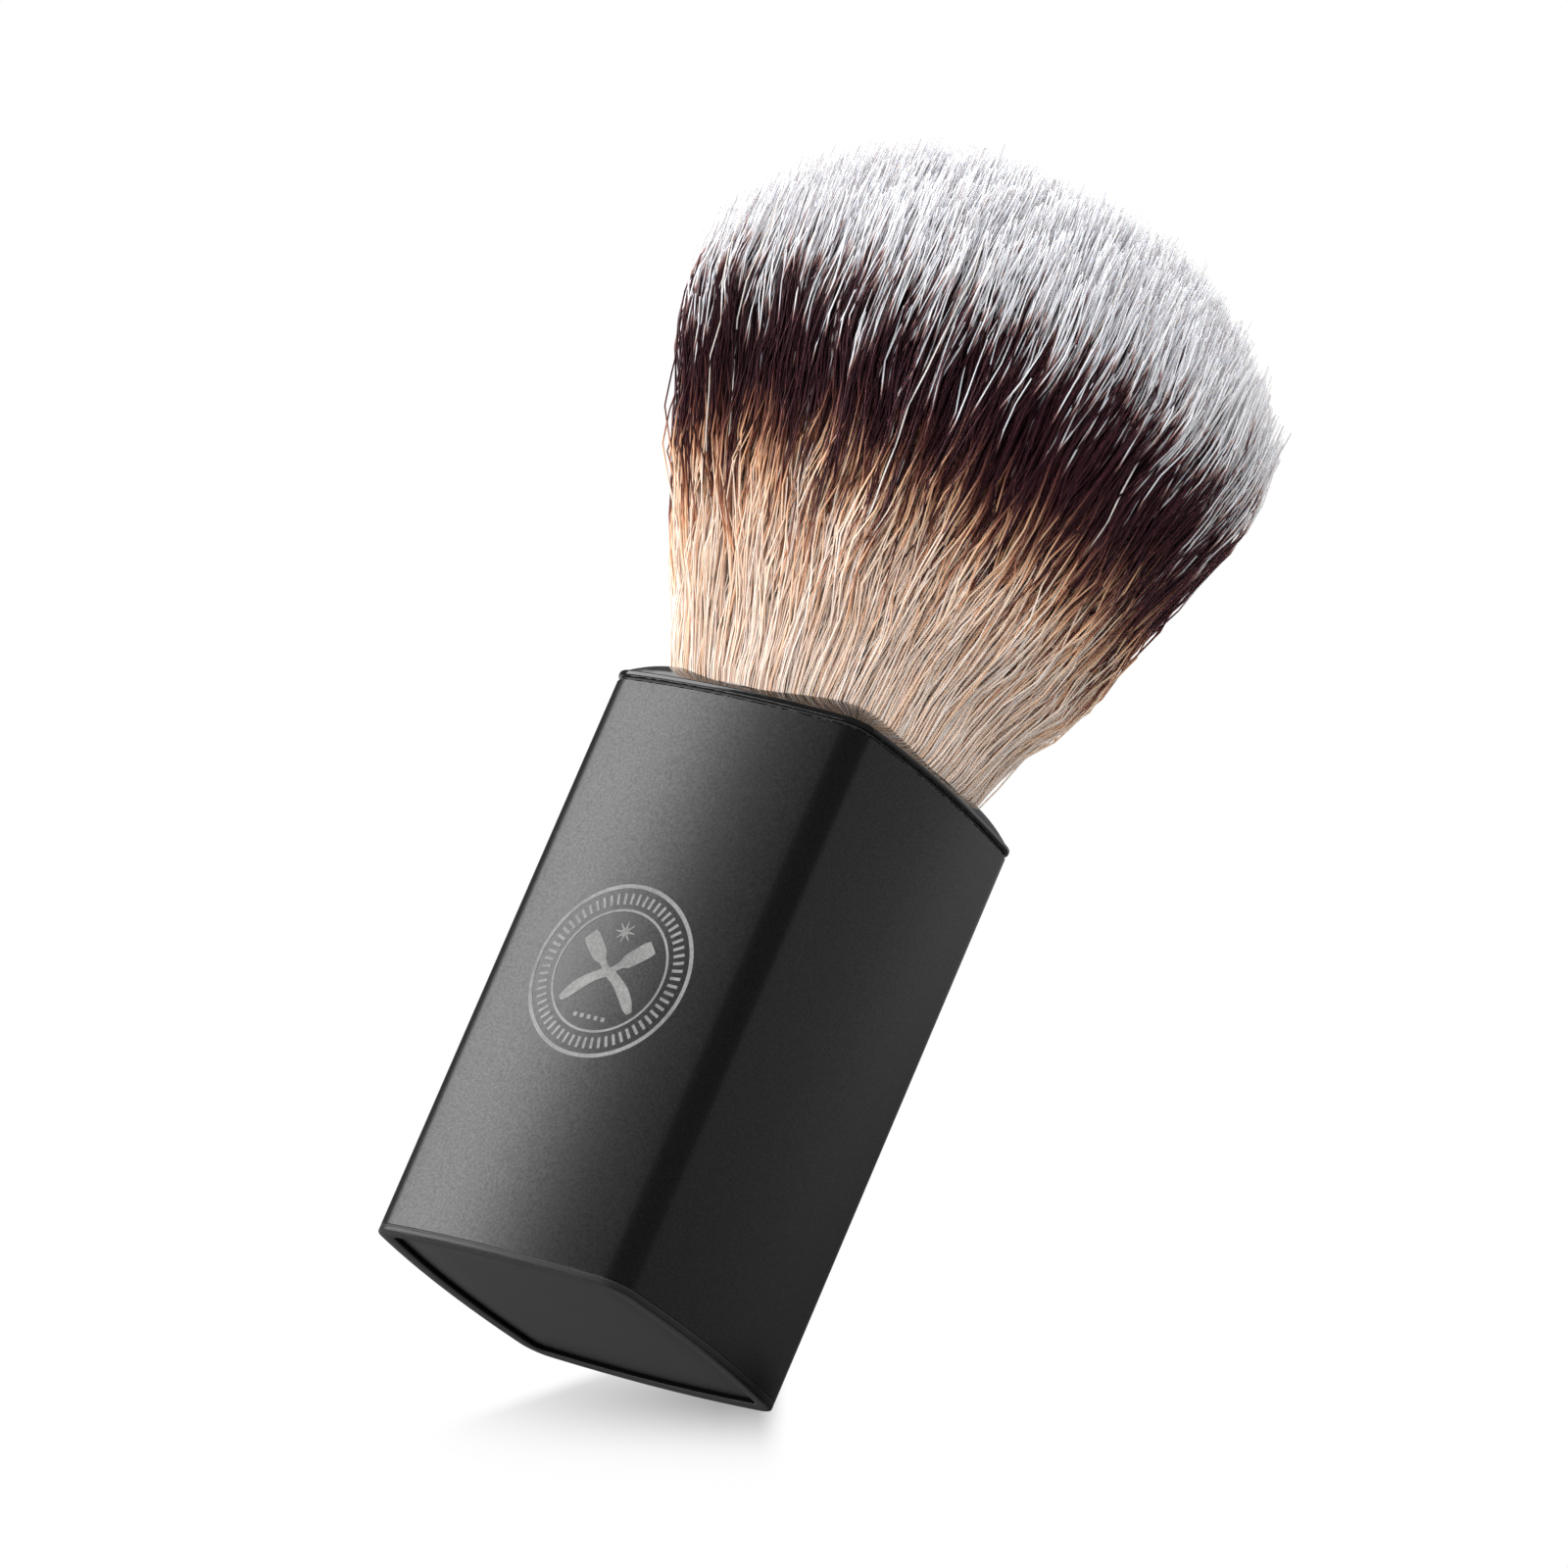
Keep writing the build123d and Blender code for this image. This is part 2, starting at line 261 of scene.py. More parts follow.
def makeLaserEtch():
    # the laser takes the dye out of the anodising and leaves it a dull, slightly uneven grey
    look = {"grey": "#858584", "faint": "#696968", "speckMm": 0.25, "fadeMm": 5.0}
    made, add, shader = newMaterial("laserEtchedAnodising", Roughness=0.62, Metallic=0.35)
    place = add("ShaderNodeTexCoord").outputs["Object"]
    speck = add("ShaderNodeTexNoise", {
        "Vector": place, "Scale": perMetre(look["speckMm"]), "Detail": 2.0})
    fade = add("ShaderNodeTexNoise", {"Vector": place, "Scale": perMetre(look["fadeMm"])})
    both = add("ShaderNodeMath", [speck, fade], operation="ADD")
    share = add("ShaderNodeMapRange", {"Value": both, "From Min": 0.75, "From Max": 1.25})
    mixed = add("ShaderNodeMix", {
        0: share, 6: colour(look["faint"]), 7: colour(look["grey"])}, data_type="RGBA")
    feed(shader, {"Base Color": mixed.outputs[2]})
    return made


def makeHidden(name, first, second, grainMm, **settings):
    # a plain finish for what is sealed inside, with the uneven tone that casting or turning leaves
    made, add, shader = newMaterial(name, **settings)
    place = add("ShaderNodeTexCoord").outputs["Object"]
    grain = add("ShaderNodeTexNoise", {"Vector": place, "Scale": perMetre(grainMm), "Detail": 4.0})
    mixed = add("ShaderNodeMix", {0: grain, 6: colour(first), 7: colour(second)}, data_type="RGBA")
    bump = add("ShaderNodeBump", {"Height": grain, "Strength": 0.1, "Distance": 0.05 * mm})
    feed(shader, {"Base Color": mixed.outputs[2], "Normal": bump})
    return made


bareAluminium = makeBareAluminium()
glossAbs = makeGlossAbs()
satinAbsRim = makeSatinAbs("satinBlackAbs", "#171717", "#1b1b1b")
satinAbsPanel = makeSatinAbs("satinBlackAbsPlate", "#252525", "#282828")
# painted shade: the recess walls are near black so that they read as the shadow in the gap
recessPaintedShadeAbs = makeSatinAbs("recessPaintedShadeBlackAbs", "#040404", "#060606", grain=0.0, roughest=0.9, specular=0.15)
laserEtch = makeLaserEtch()
rubber = makeHidden("mouldedNitrileRubber", "#1d1d1d", "#282828", 0.6, Roughness=0.5, IOR=1.52)
print("finishes made")

# The sleeve: the sawn and deburred length of tube.
sleeveLook = {"wall": 1.0, "chamfer": 0.15, "lowChamfer": 0.06, "rows": 8}


def makeSleeve():
    low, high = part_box("sleeve")[0].z / mm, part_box("sleeve")[1].z / mm
    wall, chamfer, rows = (sleeveLook[k] for k in ("wall", "chamfer", "rows"))
    broken = sleeveLook["lowChamfer"]
    rings = [squareRing(wall, low), squareRing(broken, low)]
    rings += [squareRing(0, low + broken + (high - low - broken - chamfer) * i / rows)
              for i in range(rows + 1)]
    rings += [squareRing(chamfer, high), squareRing(wall, high)]
    cut = {rows + 2: 1, rows + 3: 1}  # the upper chamfer and the cut end are bare metal
    made = skin("sleeveTube", [(rings, True)], finishes=cut)
    finishPiece(made, "anodised_black", "sleeve", anodisedAluminium, bareAluminium)


makeSleeve()
print("sleeve made")

# The collar: flange, pillow-shaped lip, the mouth that the bristles come out of, and the well below.
collarLook = {
    "flange": 0.55, "overhang": 0.1, "edgeRadius": 0.2, "lipSetback": 0.15, "lipCurve": 0.11,
    "lipRows": 10, "mouthRadius": 13.4, "mouthRise": 0.5, "neckRadius": 12.1, "neckDrop": 0.35,
    "lipReach": 4.5, "lipSteps": 300, "halvings": 24,
    "wellRadius": 11.6, "funnelDepth": 4.0, "wellDepth": 10.5, "spigotInset": 1.1, "skirt": 4.0,
    "skirtWall": 1.4, "wellFloor": 2.0, "bossRadius": 5.0, "bossBore": 2.82, "boreDepth": 8.8,
}
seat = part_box("collar_gasket")[1].z / mm
flangeTop = seat + collarLook["flange"]


lipFoot, lipReach, lipSteps = (collarLook[k] for k in ("lipSetback", "lipReach", "lipSteps"))
lipCorner = section["cornerRadius"] - lipFoot
lipOutlines = [outline(lipFoot + lipReach * i / lipSteps, lipCorner) for i in range(lipSteps + 1)]


def lipInsets():
    # how far in from the lip's foot each point of the outline meets the mouth's circle
    found = []
    for i in range(len(bearings)):
        near, far = 0.0, lipReach
        for _ in range(collarLook["halvings"]):
            middle = (near + far) / 2
            beyond = lipOutlines[round(middle / lipReach * lipSteps)][i].length > collarLook["mouthRadius"]
            near, far = (middle, far) if beyond else (near, middle)
        found.append(middle)
    return found


def makeCollar():
    c = collarLook
    reach = lipInsets()
    rings = []
    for row in range(c["lipRows"] + 1):
        ring = []
        for i, farthest in enumerate(reach):
            d = farthest * row / c["lipRows"]
            p = lipOutlines[round(d / lipReach * lipSteps)][i]
            ring.append(Vector((p.x, p.y, flangeTop + d - c["lipCurve"] * d * d)) * mm)
        rings.append(ring)
    edge = c["edgeRadius"]
    well = flangeTop - c["flange"] - c["neckDrop"] - c["funnelDepth"] - c["wellDepth"]
    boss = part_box("collar")[0].z / mm
    shoulder = well - c["wellFloor"]
    middle = edge - c["overhang"]
    around = [roundRing(c["mouthRadius"], flangeTop + c["mouthRise"])]
    around += [roundRing(c["neckRadius"], seat - c["neckDrop"])]
    around += [roundRing(c["wellRadius"], seat - c["neckDrop"] - c["funnelDepth"])]
    around += [roundRing(c["wellRadius"], well), roundRing(c["wellRadius"] / 2, well)]
    spigot, bore = c["spigotInset"], c["spigotInset"] + c["skirtWall"]
    outside = filletRings(middle, flangeTop - edge, edge, 90, 0)
    outside += filletRings(middle, seat + edge, edge, 0, -90)
    outside += [squareRing(spigot, seat), squareRing(spigot, shoulder - c["skirt"])]
    outside += [squareRing(bore, shoulder - c["skirt"]), squareRing(bore, shoulder)]
    outside += [roundRing(c["bossRadius"], shoulder), roundRing(c["bossRadius"], boss)]
    outside += [roundRing(c["bossBore"], boss), roundRing(c["bossBore"], boss + c["boreDepth"])]
    made = skin("collarMoulding", [(around[::-1] + rings[::-1] + outside, False)])
    finishPiece(made, "gloss_black", "collar", glossAbs)


makeCollar()
print("collar made")

# The base plug: the rim that the brush stands on, its pocket, and the spigot and hub inside the tube.
plugLook = {
    "flange": 0.4, "edgeRadius": 0.15, "rim": 1.45, "innerEdge": 0.1, "pocket": 1.4, "spigot": 8.6,
    "spigotInset": 1.1, "spigotWall": 1.5, "floor": 2.0, "hubRadius": 6.5, "hubTop": 7.4,
    "screwHole": 2.25, "headHole": 4.6, "headSeat": 4.6, "innerAngles": (0.4, 0.8, 1.2, math.pi / 2),
}


def makeBasePlug():
    c = plugLook
    edge, inner = c["edgeRadius"], c["innerEdge"]
    rings = filletRings(edge, edge, edge, 0, -90)
    rings += [squareRing(c["rim"] - inner, 0)]
    rings += [squareRing(c["rim"] - inner + inner * math.sin(a), inner - inner * math.cos(a))
              for a in c["innerAngles"]]
    rings += [squareRing(c["rim"], c["pocket"]), roundRing(c["headHole"], c["pocket"])]
    rings += [roundRing(c["headHole"], c["headSeat"]), roundRing(c["screwHole"], c["headSeat"])]
    rings += [roundRing(c["screwHole"], c["hubTop"]), roundRing(c["hubRadius"], c["hubTop"])]
    rings += [roundRing(c["hubRadius"], c["pocket"] + c["floor"])]
    bore = c["spigotInset"] + c["spigotWall"]
    top = c["flange"] + c["spigot"]
    rings += [squareRing(bore, c["pocket"] + c["floor"]), squareRing(bore, top)]
    rings += [squareRing(c["spigotInset"], top), squareRing(c["spigotInset"], c["flange"])]
    rings += [squareRing(0, c["flange"])]
    # the pocket's deep walls get a near-black matt finish as painted shade, so the recess reads as a black
    # shadow line
    made = skin("basePlugMoulding", [(rings, True)], finishes={10: 1, 11: 1})
    finishPiece(made, "satin_black", "base_plug", satinAbsRim, recessPaintedShadeAbs)


panelLook = {"clearance": 0.1, "edgeRadius": 0.1, "middle": 4}


def makeBasePanel():
    low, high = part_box("base_panel")[0].z / mm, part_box("base_panel")[1].z / mm
    inset, edge = plugLook["rim"] + panelLook["clearance"], panelLook["edgeRadius"]
    middle = inset + panelLook["middle"]
    rings = [squareRing(middle, low)] + filletRings(inset + edge, low + edge, edge, -90, 0)
    rings += [squareRing(inset, high), squareRing(middle, high)]
    finishPiece(skin("basePlate", [(rings, False)]), "satin_black", "base_panel", satinAbsPanel)


gasketLook = {"grip": 0.02, "edge": 0.05}


def makeBaseGasket():
    # the rubber bulges a little where it is squeezed, nearly flush with the tube
    low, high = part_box("base_gasket")[0].z / mm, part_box("base_gasket")[1].z / mm
    inner, edge = plugLook["spigotInset"] - gasketLook["grip"], gasketLook["edge"]
    rings = [squareRing(inner, low), squareRing(edge, low), squareRing(0.0, (low + high) / 2)]
    rings += [squareRing(edge, high), squareRing(inner, high)]
    made = skin("baseGasketRubber", [(rings, True)], sharp=60)
    finishPiece(made, "gasket_rubber", "base_gasket", rubber)


makeBasePlug()
makeBasePanel()
makeBaseGasket()
print("base made")

# The mark on one side: rings, ticks and crossed razors, drawn flat and then laid on the bowed face.
markLook = {
    "centreMm": 25.0, "outerRing": (7.25, 7.6), "innerRing": (5.2, 5.42), "ringSteps": 96, "ticks": 60,
    "tickReach": (5.85, 6.8), "tickWidth": 0.26, "thickness": 0.04, "lift": 0.02,
    "razorLean": 40, "razorDrop": 0.15, "razorStep": 0.5, "scaleStart": -4.6, "scaleBow": 0.36,
    "scaleWidths": [0.5, 0.84, 1.0, 1.05, 1.05, 1.0, 0.92, 0.86, 0.86, 0.84, 0.5],
    "bladeStart": 0.3, "bladeRise": 0.02, "bladeWidths": [0.62, 0.58, 0.66, 1.25, 1.36, 1.4, 1.44, 1.46, 1.2],
    "dashes": 5, "dashApart": 0.7, "dashHalf": 0.18, "dashWidth": 0.36, "dashHeight": -4.1,
    "starArms": 4, "starReach": 0.95, "starHeight": 3.45, "starWidths": [0.06, 0.3, 0.06],
}


def strip(path, widths):
    # the four corners of a flat bar's section at each point along a path
    sections = []
    for i, (x, z) in enumerate(path):
        before, after = path[max(i - 1, 0)], path[min(i + 1, len(path) - 1)]
        along = Vector((after[0] - before[0], after[1] - before[1])).normalized()
        side = Vector((-along.y, along.x)) * widths[i] / 2
        deep = markLook["thickness"]
        corners = [(x + side.x, 0, z + side.y), (x - side.x, 0, z - side.y),
                   (x - side.x, deep, z - side.y), (x + side.x, deep, z + side.y)]
        sections.append([Vector(c) * mm for c in corners])
    return sections


def ringOfStrip(inner, outer):
    deep, steps = markLook["thickness"], markLook["ringSteps"]
    sections = []
    for i in range(steps):
        a = 2 * math.pi * i / steps
        corners = [(r * math.cos(a), y, r * math.sin(a))
                   for r, y in ((inner, 0), (outer, 0), (outer, deep), (inner, deep))]
        sections.append([Vector(c) * mm for c in corners])
    return sections


def razor(mirror):
    # a folding razor half open: the scale, and the blade beyond the pivot
    m, lean = markLook, math.radians(markLook["razorLean"])
    last = len(m["scaleWidths"]) - 1
    scale = [(m["scaleStart"] + m["razorStep"] * i, m["scaleBow"] * math.sin(math.pi * i / last))
             for i in range(last + 1)]
    blade = [(m["bladeStart"] + m["razorStep"] * i, m["bladeRise"] * i) for i in range(len(m["bladeWidths"]))]
    turned = []
    for path, widths in ((scale, m["scaleWidths"]), (blade, m["bladeWidths"])):
        points = [(x * math.cos(lean) - z * math.sin(lean), x * math.sin(lean) + z * math.cos(lean))
                  for x, z in path]
        turned.append(([(mirror * x, z - m["razorDrop"]) for x, z in points], widths))
    return turned


def newGroup(title, sizes, takesMesh=False):
    # a geometry tree with its sizes as named inputs, the call that adds a node to it, and the inputs
    tree = bpy.data.node_groups.new(title, "GeometryNodeTree")
    if takesMesh:
        tree.interface.new_socket("Geometry", in_out="INPUT", socket_type="NodeSocketGeometry")
    for name, value in sizes.items():
        kind = "NodeSocketInt" if isinstance(value, int) else "NodeSocketFloat"
        tree.interface.new_socket(name, in_out="INPUT", socket_type=kind)
    tree.interface.new_socket("Geometry", in_out="OUTPUT", socket_type="NodeSocketGeometry")
    add = partial(addNode, tree)
    return tree, add, add("NodeGroupInput").outputs


def markTree(material, sizes):
    tree, add, given = newGroup("ticksLaidOnFace", sizes, takesMesh=True)
    # the ticks, each a bar standing in a ring
    length = add("ShaderNodeMath", [given["Outer"], given["Inner"]], operation="SUBTRACT")
    size = add("ShaderNodeCombineXYZ", [given["Width"], given["Thickness"], length])
    tick = add("GeometryNodeMeshCube", {"Size": size})
    mid = add("ShaderNodeMath", [given["Inner"], given["Outer"]], operation="ADD")
    radius = add("ShaderNodeMath", [mid, 0.5], operation="MULTIPLY")
    turn = add("ShaderNodeMath", [add("GeometryNodeInputIndex"), given["Ticks"]], operation="DIVIDE")
    angle = add("ShaderNodeMath", [turn, 2 * math.pi], operation="MULTIPLY")
    up = add("ShaderNodeCombineXYZ", {2: radius})
    place = add("ShaderNodeVectorRotate", {"Vector": up, "Angle": angle, "Axis": (0, 1, 0)})
    inside = add("ShaderNodeMath", [given["Thickness"], 0.5], operation="MULTIPLY")
    deep = add("ShaderNodeCombineXYZ", {1: inside})
    sunk = add("ShaderNodeVectorMath", [place, deep], operation="ADD")
    points = add("GeometryNodePoints", {"Count": given["Ticks"], "Position": sunk})
    spin = add("ShaderNodeCombineXYZ", {1: angle})
    copies = add("GeometryNodeInstanceOnPoints", {"Points": points, "Instance": tick, "Rotation": spin})
    solid = add("GeometryNodeRealizeInstances", {"Geometry": copies})
    joined = add("GeometryNodeJoinGeometry", [solid])
    feed(joined, [given["Geometry"]])
    # the whole mark is moved out to the face and follows its bow
    at = add("ShaderNodeSeparateXYZ", [add("GeometryNodeInputPosition")])
    across = add("ShaderNodeMath", [at, at], operation="MULTIPLY")
    square = add("ShaderNodeMath", [given["Bow"], given["Bow"]], operation="MULTIPLY")
    rest = add("ShaderNodeMath", [square, across], operation="SUBTRACT")
    chord = add("ShaderNodeMath", [rest], operation="SQRT")
    fall = add("ShaderNodeMath", [given["Bow"], chord], operation="SUBTRACT")
    out = add("ShaderNodeMath", [given["Face"], given["Lift"]], operation="ADD")
    shift = add("ShaderNodeMath", [fall, out], operation="SUBTRACT")
    offset = add("ShaderNodeCombineXYZ", {1: shift, 2: given["Height"]})
    laid = add("GeometryNodeSetPosition", {"Geometry": joined, "Offset": offset})
    real = add("GeometryNodeRealizeInstances", {"Geometry": laid})
    coated = add("GeometryNodeSetMaterial", {"Geometry": real, "Material": material})
    add("NodeGroupOutput", [coated])
    return tree


def grow(name, tree, values, host=None):
    # runs a node tree on its own and keeps only the plain mesh that it makes
    host = host or addObject(name + "Seed", bpy.data.meshes.new(name + "Seed"))
    modifier = host.modifiers.new("made", "NODES")
    modifier.node_group = tree
    for item in tree.interface.items_tree:
        if item.in_out == "INPUT" and item.name in values:
            modifier[item.identifier] = values[item.name]
    seen = host.evaluated_get(bpy.context.evaluated_depsgraph_get())
    mesh = bpy.data.meshes.new_from_object(seen)
    host.modifiers.remove(modifier)
    bpy.data.objects.remove(host)
    mesh.name = name
    return addObject(name, mesh)


def makeMark():
    m = markLook
    strips = [(ringOfStrip(*m["outerRing"]), True), (ringOfStrip(*m["innerRing"]), True)]
    strips += [(strip(path, widths), False) for side in (-1, 1) for path, widths in razor(side)]
    for i in range(m["dashes"]):
        x = (i - m["dashes"] // 2) * m["dashApart"]
        ends = [(x - m["dashHalf"], m["dashHeight"]), (x + m["dashHalf"], m["dashHeight"])]
        strips.append((strip(ends, [m["dashWidth"]] * 2), False))
    for arm in range(m["starArms"]):
        a = math.pi / m["starArms"] * arm
        path = [(m["starReach"] * k * math.sin(a), m["starHeight"] + m["starReach"] * k * math.cos(a))
                for k in (-1, 0, 1)]
        strips.append((strip(path, m["starWidths"]), False))
    sizes = {"Ticks": m["ticks"], "Inner": m["tickReach"][0] * mm, "Outer": m["tickReach"][1] * mm,
             "Width": m["tickWidth"] * mm, "Thickness": m["thickness"] * mm,
             "Face": section["halfFlat"] * mm, "Bow": section["bowRadius"] * mm,
             "Height": m["centreMm"] * mm, "Lift": m["lift"] * mm}
    made = grow("sideMark", markTree(laserEtch, sizes), sizes, skin("markSeed", strips))
    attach(made, "root")


makeMark()
print("mark made")

# The knot of bristles: thousands of crimped synthetic fibres, grown in bundles from the resin.
# The whole numbers are counts, and the rest become inputs of the node tree.
hairLook = {
    "fibres": 19800, "pieces": 10, "seed": 7, "points": 16, "rootMm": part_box("knot_resin")[1].z / mm,
    "neckMm": flangeTop - 0.9, "sideMm": 41.0, "topMm": 52.9, "dome": 2.9, "crowd": 0.45,
    "shortestMm": 9.0, "fibreMm": 0.165, "tuftMm": 1.9, "lockMm": 4.2, "mapMm": 62.5, "looks": 400.0,
}
# how the fibres gather, wave and taper; the shares called From are of the way up a fibre
hairForm = {
    "turn": 2.399963, "bundleMm": 26.0, "dyeMm": 0.8, "edgePower": 7.0, "shortPower": 1.8,
    "unevenMm": 1.0, "pointed": 1.9, "looseMm": 1.4, "outerRho": 0.86, "gatherPower": 2.2,
    "tuftPull": (0.02, 0.28), "lockPull": (0.0, 0.12), "slowWave": (0.22, 0.22, 0.085),
    "slowMm": 3.0, "apart": (40.0, 40.0, 40.0), "quickWave": (0.0, 0.0, 0.105), "quickMm": 3.8,
    "freeFrom": 0.35, "calmFrom": 0.45, "calmest": 0.5, "leanMm": 1.2, "taperFrom": 0.85,
    "tipShare": 0.33, "leastMm": 0.02, "cornerAlong": 0.0006, "cornerAcross": 0.16, "cellStart": 0.125,
}
# the knot's radius at heights above the flange, in millimetres, and a radius above them all
hairSpread = [(-8, 10.95), (-0.9, 11.95), (0.6, 12.95), (3.4, 13.8), (6.7, 14.8), (10.8, 16.9), (15, 18.7),
              (19.1, 20.2), (23.3, 21.7), (27.4, 23.3), (31.5, 24.6), (35, 24.9), (55, 24.9)]
widestMm = 30.0


def hairSizes(piece):
    # the tree's inputs for one piece of the knot
    counts = {"Fibres": hairLook["fibres"] // hairLook["pieces"], "First": piece, "Stride": hairLook["pieces"],
              "All": hairLook["fibres"], "Seed": hairLook["seed"], "Points": hairLook["points"]}
    return counts | {name: value for name, value in hairLook.items() if isinstance(value, float)}


def hairTree(material):
    form = hairForm
    tree, add, given = newGroup("bristlesGrowing", hairSizes(0))

    # each fibre's number, and its place in a round bundle of radius 1
    index = add("GeometryNodeInputIndex")
    number = add("ShaderNodeMath", [index, given["Stride"], given["First"]], operation="MULTIPLY_ADD")
    share = add("ShaderNodeMath", [number, 0.5], operation="ADD")
    share = add("ShaderNodeMath", [share, given["All"]], operation="DIVIDE")
    rho = add("ShaderNodeMath", [share, given["crowd"]], operation="POWER")
    angle = add("ShaderNodeMath", [number, form["turn"]], operation="MULTIPLY")
    arm = add("ShaderNodeCombineXYZ", [rho])
    disc = add("ShaderNodeVectorRotate", {"Vector": arm, "Angle": angle}, rotation_type="Z_AXIS")
    seeds = [add("ShaderNodeMath", [given["Seed"], float(k)], operation="ADD") for k in range(5)]
    chance = [add("FunctionNodeRandomValue", {"ID": number, "Seed": seed}).outputs[1] for seed in seeds]

    # fibres gather into tufts, and tufts into locks
    tuft, lock = [add("ShaderNodeTexVoronoi", {
        "Vector": disc, "Scale": add("ShaderNodeMath", [form["bundleMm"], given[size]], operation="DIVIDE")},
        voronoi_dimensions="2D") for size in ("tuftMm", "lockMm")]
    toTuft = add("ShaderNodeVectorMath", [tuft.outputs["Position"], disc], operation="SUBTRACT")
    toLock = add("ShaderNodeVectorMath", [lock.outputs["Position"], disc], operation="SUBTRACT")
    tuftChance = add("ShaderNodeSeparateXYZ", [tuft.outputs["Color"]]).outputs
    dyeShift = add("ShaderNodeMapRange", {
        "Value": tuftChance[1], "To Min": -0.5 * form["dyeMm"], "To Max": 0.5 * form["dyeMm"]})

    # how high each fibre reaches: a dome, uneven and pointed tufts, and shorter outer fibres
    fall = add("ShaderNodeMath", [rho, given["dome"]], operation="POWER")
    crown = add("ShaderNodeMapRange", {"Value": fall, "To Min": given["topMm"], "To Max": given["sideMm"]})
    edge = add("ShaderNodeMath", [rho, form["edgePower"]], operation="POWER")
    short = add("ShaderNodeMath", [chance[0], form["shortPower"]], operation="POWER")
    short = add("ShaderNodeMath", [short, edge], operation="MULTIPLY")
    short = add("ShaderNodeMath", [short, given["shortestMm"]], operation="MULTIPLY")
    uneven = add("ShaderNodeMapRange", {"Value": tuftChance[0], "To Min": form["unevenMm"], "To Max": 0.0})
    pointed = add("ShaderNodeMath", [tuft.outputs["Distance"], form["pointed"]], operation="MULTIPLY")
    less = add("ShaderNodeMath", [short, uneven], operation="ADD")
    less = add("ShaderNodeMath", [less, pointed], operation="ADD")
    less = add("ShaderNodeMath", [chance[1], form["looseMm"], less], operation="MULTIPLY_ADD")
    tip = add("ShaderNodeMath", [crown, less], operation="SUBTRACT")

    # every fibre starts as the same short line, carrying its own numbers
    points = add("GeometryNodePoints", {"Count": given["Fibres"]})
    bow = add("ShaderNodeCombineXYZ", chance[2:])
    look = add("ShaderNodeMath", [chance[3], given["looks"]], operation="MULTIPLY")
    look = add("ShaderNodeMath", [look], operation="FLOOR")
    look = add("ShaderNodeMath", [look, given["looks"]], operation="DIVIDE")
    # outer fibres go to the upper half of the map's rows, so the colour can paint shade on the inner ones
    outer = add("ShaderNodeMath", [rho, form["outerRho"]], operation="GREATER_THAN")
    row = add("ShaderNodeMath", [look, outer], operation="ADD")
    row = add("ShaderNodeMath", [row, 0.5, form["cellStart"] / hairLook["looks"]], operation="MULTIPLY_ADD")
    carried = {"disc": ("FLOAT_VECTOR", disc), "toTuft": ("FLOAT_VECTOR", toTuft),
               "toLock": ("FLOAT_VECTOR", toLock), "bow": ("FLOAT_VECTOR", bow),
               "tip": ("FLOAT", tip), "row": ("FLOAT", row), "dye": ("FLOAT", dyeShift)}
    for name, (kind, value) in carried.items():
        points = add("GeometryNodeStoreNamedAttribute", {
            "Geometry": points, "Name": name, "Value": value}, data_type=kind)
    line = add("GeometryNodeCurvePrimitiveLine", {"End": (0, 0, mm)})
    line = add("GeometryNodeResampleCurve", {"Curve": line, "Count": given["Points"]})
    many = add("GeometryNodeInstanceOnPoints", {"Points": points, "Instance": line})
    fibres = add("GeometryNodeRealizeInstances", {"Geometry": many})
    read = {name: add("GeometryNodeInputNamedAttribute", {"Name": name}, data_type=kind)
            for name, (kind, _) in carried.items()}

    # height along the fibre: one step up through the neck, then evenly to the tip
    factor = add("GeometryNodeSplineParameter")
    steps = add("ShaderNodeMath", [given["Points"], 1.0], operation="SUBTRACT")
    step = add("ShaderNodeMath", [1.0, steps], operation="DIVIDE")
    first = add("ShaderNodeMapRange", {
        "Value": factor, "From Max": step, "To Min": given["rootMm"], "To Max": given["neckMm"]})
    whole = add("ShaderNodeMath", [read["tip"], flangeTop], operation="ADD")
    free = add("ShaderNodeMath", [whole, given["neckMm"]], operation="SUBTRACT")
    along = add("ShaderNodeMapRange", {"Value": factor, "From Min": step, "From Max": 1.0, "To Max": free})
    height = add("ShaderNodeMath", [first, along], operation="ADD")
    low, high = hairSpread[0][0], hairSpread[-1][0]
    above = add("ShaderNodeMapRange", {
        "Value": height, "From Min": flangeTop + low, "From Max": flangeTop + high})
    spread = add("ShaderNodeFloatCurve", {"Value": above})
    curve = spread.mapping.curves[0]
    for i, (h, r) in enumerate(hairSpread):
        place = ((h - low) / (high - low), r / widestMm)
        if i in (0, len(hairSpread) - 1):
            curve.points[0 if i == 0 else -1].location = place
        else:
            curve.points.new(*place)
    spread.mapping.update()
    radius = add("ShaderNodeMath", [spread, widestMm], operation="MULTIPLY")

    # gathering grows towards the tip
    rise = add("ShaderNodeMath", [factor, form["gatherPower"]], operation="POWER")
    moved = read["disc"]
    for towards, (least, most) in (("toTuft", form["tuftPull"]), ("toLock", form["lockPull"])):
        pull = add("ShaderNodeMapRange", {"Value": rise, "To Min": least, "To Max": most})
        moved = add("ShaderNodeVectorMath", [read[towards], pull, moved], operation="MULTIPLY_ADD")
    flat = add("ShaderNodeVectorMath", [moved, (1.0, 1.0, 0.0)], operation="MULTIPLY")
    outward = add("ShaderNodeVectorMath", {0: flat, "Scale": radius}, operation="SCALE")

